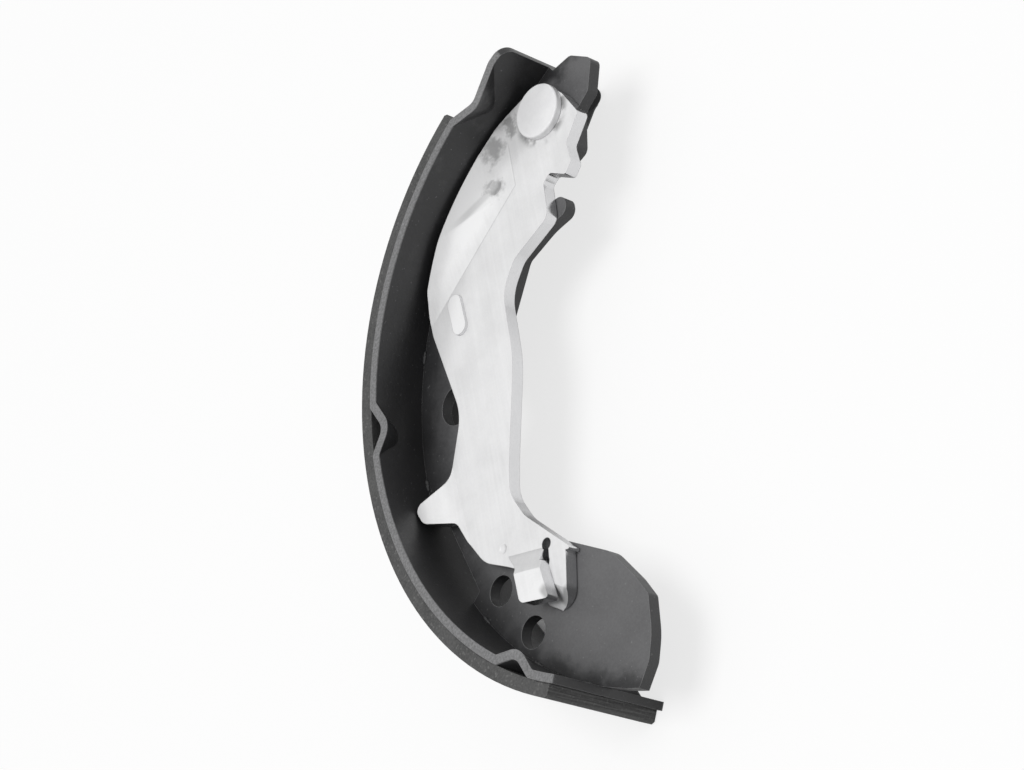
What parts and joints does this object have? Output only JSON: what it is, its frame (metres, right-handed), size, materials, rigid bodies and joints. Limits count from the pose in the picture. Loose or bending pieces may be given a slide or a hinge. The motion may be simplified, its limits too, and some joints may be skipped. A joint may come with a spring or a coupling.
{
  "type": "drum brake shoe",
  "caption": "Curved T-section drum brake shoe with bonded friction lining, pressed edge pads and a pivoted parking-brake lever with a cable hook.",
  "frame": {"origin": "centre of the hold-down hole, halfway through the web's thickness", "axes": "+Z along the drum's axis, on the lever's side; +Y towards the toe with the pivot pin; -X towards the lining"},
  "size_m": [0.0905, 0.1839, 0.039],
  "materials": {
    "shoe_steel": "satin dark grey coat, brighter on cut edges",
    "friction_lining": "dry, speckled moulded friction material",
    "plated_steel": "bright zinc plate",
    "pin_steel": "bright zinc plate"
  },
  "bodies": {
    "shoe": {"web": "shoe_steel", "table": "shoe_steel", "lining": "friction_lining", "pivot_pin": "pin_steel"},
    "lever": {"parking_lever": "plated_steel"}
  },
  "joints": [
    {"name": "lever_pivot", "type": "hinge", "parent": "shoe", "child": "lever", "pos_m": [0.05221, 0.06302, 0.003], "axis": [0, 0, 1], "range_deg": [0, 22]}
  ]
}
